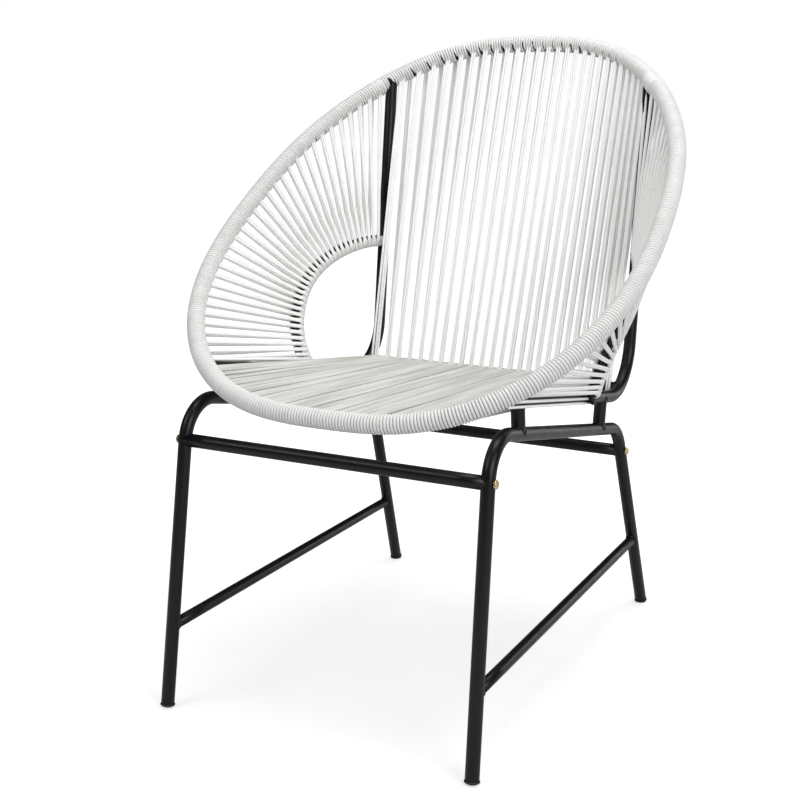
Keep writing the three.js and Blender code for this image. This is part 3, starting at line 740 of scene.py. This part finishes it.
def drawn(start, end, facing, overlap):
    """One cord: round the first tube, straight across, and round the second."""
    run = unit(end[0] - start[0])
    first = wrap(start, run, -1, facing, overlap[0])[::-1]
    last = wrap(end, run, 1, facing, overlap[1])
    gap = last[0] - first[-1]
    middle = [first[-1] + gap * t for t in (0.08, 0.25, 0.5, 0.75, 0.92)]
    return swept([*first, *middle, *last], CORD_RADIUS, CORD_SIDES, capped=False)


def pair(start, end, facing, overlap, spread=(PAIR_HALF, PAIR_HALF)):
    """Two cords side by side, spread to each side at their start and end."""
    cords = []
    for step in (-1, 1):
        ends = []
        for (centre, axis, radius), half in zip((start, end), spread):
            ends.append((centre + unit(axis) * step * half, axis, radius))
        cords.append(drawn(*ends, facing, overlap))
    return cords


def jitter(size):
    return dice.gauss(0, size)


def back_ends(top_x, low_x):
    place = top_place(top_x)
    top = HOOP.at(place), -HOOP.tangent(place), FRAME_RADIUS - BACK_SINK
    return top, (on_seat_bar(low_x), vec(1, 0, 0), FRAME_RADIUS)


def build_back():
    """Pairs in a front and a rear layer by turns, and one single cord at the right edge."""
    edge = back_ends(BACK_EDGE_TOP, BACK_EDGE_LOW)
    cords = [drawn(*edge, vec(0, -1, 0), PANEL_OVERLAP)]
    for i in range(2 * BACK_PAIRS + 3):
        x = back_place(i / 2 - 0.5)
        top, low = back_ends(x, BACK_TAPER * x + jitter(BACK_JITTER))
        facing = vec(0, -1, 0) if i % 2 == 0 else vec(0, 1, 0)
        cords += pair(top, low, facing, PANEL_OVERLAP)
    return cords


def build_seat():
    """A pair over and a pair under the tubes at each place."""
    cords = []
    for i in range(SEAT_PLACES):
        x = SEAT_EDGE + SEAT_PITCH * i / 2
        for way in (1, -1):
            place = front_place(x + jitter(RIM_JITTER))
            rim_radius = FRAME_RADIUS - SEAT_SINK + jitter(RIM_SINK_JITTER)
            rim = HOOP.at(place), HOOP.tangent(place), rim_radius
            low_x = np.clip(SEAT_TAPER * x + jitter(BAR_JITTER), -SEAT_LOW_LIMIT, SEAT_LOW_LIMIT)
            low = on_seat_bar(low_x), vec(1, 0, 0), FRAME_RADIUS + jitter(BAR_SINK_JITTER)
            cords += pair(rim, low, vec(0, 0, way), PANEL_OVERLAP)
    return cords


def arc_places():
    """Distances along an arc of the gaps in its winding, wider in the middle, and of the pairs in them."""
    edges = np.linspace(0, 1, ARC_PAIRS - 1)
    steps = 9.6 + 4.2 * edges - 5.2 * edges**2
    gaps = ARC_FIRST_GAP + np.concatenate([[0], np.cumsum(steps)])
    pairs = (gaps[1:] + gaps[:-1]) / 2
    return gaps, np.concatenate([[gaps[0] - 4.9], pairs])


def build_arm(sign):
    """Pairs from the hoop to the arc, in an inner and an outer layer, and single cords along the rail."""
    arc = ARCS[sign]
    _, arc_pairs = arc_places()
    cords = []
    for i in range(2 * ARC_PAIRS - 3):
        inner = i % 2 == 0
        place = hoop_arm_place(sign, arm_share(i / 2 + 0.25))
        rim = HOOP.at(place), -sign * HOOP.tangent(place), FRAME_RADIUS - ARM_SINK
        near = min(arc_pairs[i // 2] + (0 if inner else LAYER_STEP), arc.length - ARC_END_MARGIN)
        low = arc.at(near), arc.tangent(near), BRACE_RADIUS - ARC_SINK
        facing = vec(-sign if inner else sign, 0, 0)
        cords += pair(rim, low, facing, ARM_OVERLAP, (PAIR_HALF, ARC_PAIR_HALF))
    return cords + [rail_cord(sign, angle, depth) for angle, depth in RAIL_CORDS]


def rail_cord(sign, start_angle, depth):
    """A cord along the outside of the rail, at one angle round it, which goes over it from a depth on."""
    rail_front, corner, _ = rail_corners(sign)
    along = unit(corner - rail_front)
    out = vec(sign, 0, 0)
    up = np.cross(out, along) * sign
    depths = [*np.linspace(rail_front[1] - 2, depth, 12), *np.linspace(depth + 1, depth + 9, 9)]
    angles = np.radians([*[start_angle] * 12, *np.linspace(start_angle + 3, RAIL_CORD_END, 9)])
    reach = FRAME_RADIUS + CORD_RADIUS - 0.2
    points = []
    for y, angle in zip(depths, angles):
        on_axis = rail_front + along * (y - rail_front[1]) / along[1]
        points.append(on_axis + reach * (math.cos(angle) * out + math.sin(angle) * up))
    return swept(points, CORD_RADIUS, CORD_SIDES, capped=False)


# Places where the tube shows between the turns
def slit(distance, angle, place, span, width, lean):
    """A narrow triangle that points from the span's low angle to its high one, and leans along the tube."""
    low, high = span
    rise = (angle - low) / (high - low)
    centre = place + lean * (rise - 0.35)
    return (rise > 0) & (rise < 1) & (np.abs(distance - centre) < width * (1 - rise).clip(0) ** 0.6)


def hoop_bare(distance, angle):
    """Slits between the back's pairs and the arms' upper pairs, and a notch beside the right upright."""
    distance = distance % HOOP.length
    hidden = slit(distance, angle, RIGHT_UPRIGHT - 15, NOTCH, 7, 4)
    for k in range(BACK_PAIRS - 1):
        place = top_place(back_place(k))
        hidden |= slit(distance, angle, place, BACK_SLIT, 3.1 - 0.07 * k, 5.5 - 0.1 * k)
    for sign, _ in SIDES:
        for i in ARM_SLITS:
            place = hoop_arm_place(sign, arm_share(i))
            hidden |= slit(distance, angle, place, ARM_SLIT, 1.1, 2)
    return hidden


def arc_bare(sign):
    """The side of an arc that faces the hoop is bare: further round between two pairs than at a pair."""
    gaps, _ = arc_places()

    def bare(distance, angle):
        hidden = np.zeros(distance.shape, bool)
        for face in (1, -1):
            places = gaps + (0 if face * sign < 0 else LAYER_STEP)
            nearest = np.abs(distance[..., None] - places).min(-1)
            off = np.abs((angle - math.pi / 2 + math.pi) % (2 * math.pi) - math.pi)
            side = np.cos(angle) * face >= 0
            upper = 20 * (1 - np.clip(distance / 120, 0, 1))
            reach = np.radians(71 + upper - 34 * np.clip(nearest / 3.2, 0, 1))
            hidden |= side & (off < reach)
        return hidden & (distance > 9)

    return bare


def build_bundle(start):
    """A few turns over the hoop's winding, a little below and in front of it."""
    run = Line([HOOP.at(start + step) + vec(0, -2.2, -2.6) for step in range(0, 29, 4)])
    return wound(run, 0, 28, FRAME_RADIUS + 0.4, FRAME_PITCH, seed=8)


def build_cords():
    thirds = ("right", "middle", "left")
    back_nodes = [f"back_cord_{place}" for place in thirds]
    seat_nodes = [f"seat_cord_{place}" for place in thirds]
    piece("back_strands", joined(build_back()), DRAWN, back_nodes)
    piece("seat_strands", joined(build_seat()), SHADED_SEAT_CORD, seat_nodes)
    for sign, name in SIDES:
        nodes = [f"arm_cord_{name}_{place}" for place in ("upper", "middle", "front")]
        piece(f"arm_strands_{name}", joined(build_arm(sign)), DRAWN, nodes)
        arc, bare = ARCS[sign], arc_bare(sign)
        winding = wound(arc, 8, arc.length - 7, BRACE_RADIUS, BRACE_PITCH, seed=5, bare=bare)
        piece(f"arm_arc_winding_{name}", winding, SHADED_WOUND_CORD)
    winding = wound(HOOP, 0, HOOP.length, FRAME_RADIUS, FRAME_PITCH, seed=3, bare=hoop_bare)
    piece("hoop_winding", winding, SHADED_WOUND_CORD)
    bundles = [build_bundle(start) for start in (LEFT_UPRIGHT - 24, RIGHT_UPRIGHT - 4)]
    piece("hoop_bundles", joined(bundles), SHADED_WOUND_CORD)
    bar = Line([on_seat_bar(-210), on_seat_bar(210)])
    winding = wound(bar, 9, 411, FRAME_RADIUS, FRAME_PITCH, seed=4, around=22)
    piece("seat_bar_winding", winding, SHADED_WOUND_CORD)


# Foot caps and bolts, from profiles of (radius, distance along the axis)
CAP_SIDE = ((10.5, 2.6), (10.5, 3.7), (10.1, 4.3), (8.2, 4.4), (7.8, 14))
BOLT_SHANK = ((3.0, -21), (3.0, 9.6))
BOLT_HEAD = (
    (6.0, 9.55),
    (6.1, 9.8),
    (6.1, 10.6),
    (5.9, 11.6),
    (5.3, 12.5),
    (4.3, 13.1),
    (3.0, 13.35),
    (0.3, 13.4),
)


def build_cap(end, sign, name):
    """A plug with a domed rim, whose underside is flat where the chair stands on it."""
    profile = [(0.4, CAP_FLOOR), (4.6, CAP_FLOOR)]
    for angle in np.linspace(0.2, 0.7, 9):
        radius = CAP_DOME_RADIUS * math.sin(angle)
        if radius > 5:
            profile.append((radius, max(CAP_DOME_HEIGHT - CAP_DOME_RADIUS * math.cos(angle), CAP_FLOOR)))
    up = unit(shoulder(end, sign) - foot(end, sign))
    vertices, faces = turned(lathe([*profile, *CAP_SIDE], 40), up, foot(end, sign))
    vertices[:, 2] = np.maximum(vertices[:, 2], 0.02)
    node = f"foot_cap_{end}_{name}"
    piece(f"{node}_moulded", (vertices, faces), PLASTIC, [node])


def build_bolt(end, sign, name):
    place = on_leg(end, sign, CROSSBAR_HEIGHT[end])
    shape = turned(joined([lathe(BOLT_SHANK, 20), lathe(BOLT_HEAD, 40)]), (sign, 0, 0), place)
    node = f"bolt_{end}_{name}"
    cut_recess(piece(f"{node}_zinc", shape, ZINC, [node]), place, sign)


def recess_mesh(centre, sign):
    """Two crossed bars, which close in from the bolt head's face to the recess's floor."""
    made = bmesh.new()
    for outer, inner in (((0.75, 3.3), (0.5, 1.9)), ((3.3, 0.75), (1.9, 0.5))):
        corners = []
        for (y, z), x in ((outer, 15.0), (inner, 11.4)):
            for b, c in ((-1, -1), (1, -1), (1, 1), (-1, 1)):
                corner = centre + vec(sign * x, b * y, c * z)
                corners.append(made.verts.new(Vector((corner + MIDDLE_OF_FEET) * MM)))
        for face in ((0, 1, 2, 3), (7, 6, 5, 4), (0, 4, 5, 1), (1, 5, 6, 2), (2, 6, 7, 3), (3, 7, 4, 0)):
            made.faces.new([corners[i] for i in face])
    bmesh.ops.recalc_face_normals(made, faces=made.faces)
    mesh = bpy.data.meshes.new("recess")
    made.to_mesh(mesh)
    made.free()
    return mesh


def cut_recess(obj, centre, sign):
    """A cross recess in a bolt's head."""
    cutter = bpy.data.objects.new("recess", recess_mesh(centre, sign))
    bpy.context.scene.collection.objects.link(cutter)
    cut = obj.modifiers.new("recess", "BOOLEAN")
    cut.operation = "DIFFERENCE"
    cut.object = cutter
    cut.solver = "EXACT"
    cut.use_self = True
    graph = bpy.context.evaluated_depsgraph_get()
    result = bpy.data.meshes.new_from_object(obj.evaluated_get(graph))
    obj.modifiers.remove(cut)
    obj.data = result
    bpy.data.objects.remove(cutter)


def build_hardware():
    for build in (build_cap, build_bolt):
        for end in ENDS:
            for sign, name in SIDES:
                build(end, sign, name)


def finish_inserts():
    """The inserts keep their solids from the frame, and get the bolts' zinc."""
    for node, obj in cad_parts.items():
        if node.startswith("threaded_insert"):
            obj.data.materials.clear()
            obj.data.materials.append(ZINC)


# Floor, world, lamps and camera
def build_floor():
    """A pale floor that glows to the camera, more so where the lamps' light fades: only the shadow shows."""
    bpy.ops.mesh.primitive_plane_add(size=24, location=(0, 0, -0.0005))
    floor = bpy.context.object
    floor.name = "floor"
    material = bpy.data.materials.new("pale_floor")
    material.use_nodes = True
    tree = material.node_tree
    tree.nodes.clear()
    output = add_node(tree, "OutputMaterial")
    diffuse = add_node(tree, "BsdfDiffuse", {"Color": (0.55, 0.55, 0.55, 1)})
    glow = add_node(tree, "Emission", {"Color": (1, 1, 1, 1)})
    total = add_node(tree, "AddShader")
    path = add_node(tree, "LightPath")
    reach = add_node(tree, "VectorMath")
    reach.operation = "LENGTH"
    level = add_node(tree, "MapRange")
    for socket, value in zip(("From Min", "From Max", "To Min", "To Max"), (*FLOOR_FADE, *FLOOR_GLOW)):
        level.inputs[socket].default_value = value
    strength = add_node(tree, "Math")
    strength.operation = "MULTIPLY"
    tree.links.new(add_node(tree, "NewGeometry").outputs["Position"], reach.inputs[0])
    tree.links.new(reach.outputs["Value"], level.inputs["Value"])
    tree.links.new(path.outputs["Is Camera Ray"], strength.inputs[0])
    tree.links.new(level.outputs[0], strength.inputs[1])
    tree.links.new(strength.outputs[0], glow.inputs["Strength"])
    tree.links.new(diffuse.outputs[0], total.inputs[0])
    tree.links.new(glow.outputs[0], total.inputs[1])
    tree.links.new(total.outputs[0], output.inputs["Surface"])
    floor.data.materials.append(material)


def build_world():
    """An even light, which is white to the camera and dark in reflections."""
    world = bpy.data.worlds.new("studio")
    bpy.context.scene.world = world
    world.use_nodes = True
    tree = world.node_tree
    background = tree.nodes["Background"]
    background.inputs["Color"].default_value = (1, 1, 1, 1)
    path = add_node(tree, "LightPath")
    gloss = add_node(tree, "Math", {1: WORLD_IN_GLOSS})
    gloss.operation = "MULTIPLY"
    total = add_node(tree, "Math")
    level = add_node(tree, "MapRange", {"To Min": WORLD_LEVEL, "To Max": WORLD_WHITE})
    level.clamp = False
    tree.links.new(path.outputs["Is Glossy Ray"], gloss.inputs[0])
    tree.links.new(path.outputs["Is Camera Ray"], total.inputs[0])
    tree.links.new(gloss.outputs[0], total.inputs[1])
    tree.links.new(total.outputs[0], level.inputs["Value"])
    tree.links.new(level.outputs[0], background.inputs["Strength"])


def lamp(name, location, target, size, power):
    data = bpy.data.lights.new(name, "AREA")
    data.shape = "DISK"
    data.size = size
    data.energy = power
    obj = bpy.data.objects.new(name, data)
    obj.location = location
    obj.rotation_euler = (Vector(target) - Vector(location)).to_track_quat("-Z", "Y").to_euler()
    bpy.context.scene.collection.objects.link(obj)
    return obj


def build_lamps():
    lamp("key", (-1.6, -2.2, 2.6), (0, 0, 0.5), 1.6, 18)
    lamp("fill", (2.4, -1.4, 1.6), (0, 0, 0.5), 1.8, 33)
    lamp("top", (0.2, 0.3, 3.0), (0, 0, 0.4), 2.0, 40)
    rear = lamp("rear", (1.25, 2.2, 0.7), (0, 0, 0.4), 1.2, 7)
    rear.visible_camera = False


def build_camera():
    data = bpy.data.cameras.new("camera")
    data.lens = CAMERA_LENS
    data.sensor_width = 36
    camera = bpy.data.objects.new("camera", data)
    camera.location = CAMERA_PLACE
    camera.rotation_euler = Euler((math.pi / 2 - CAMERA_DIP, 0, CAMERA_TURN))
    bpy.context.scene.collection.objects.link(camera)
    bpy.context.scene.camera = camera


build_camera()
build_steel()
build_cords()
build_hardware()
finish_inserts()
build_floor()
build_world()
build_lamps()
bpy.context.scene.view_settings.view_transform = "Standard"
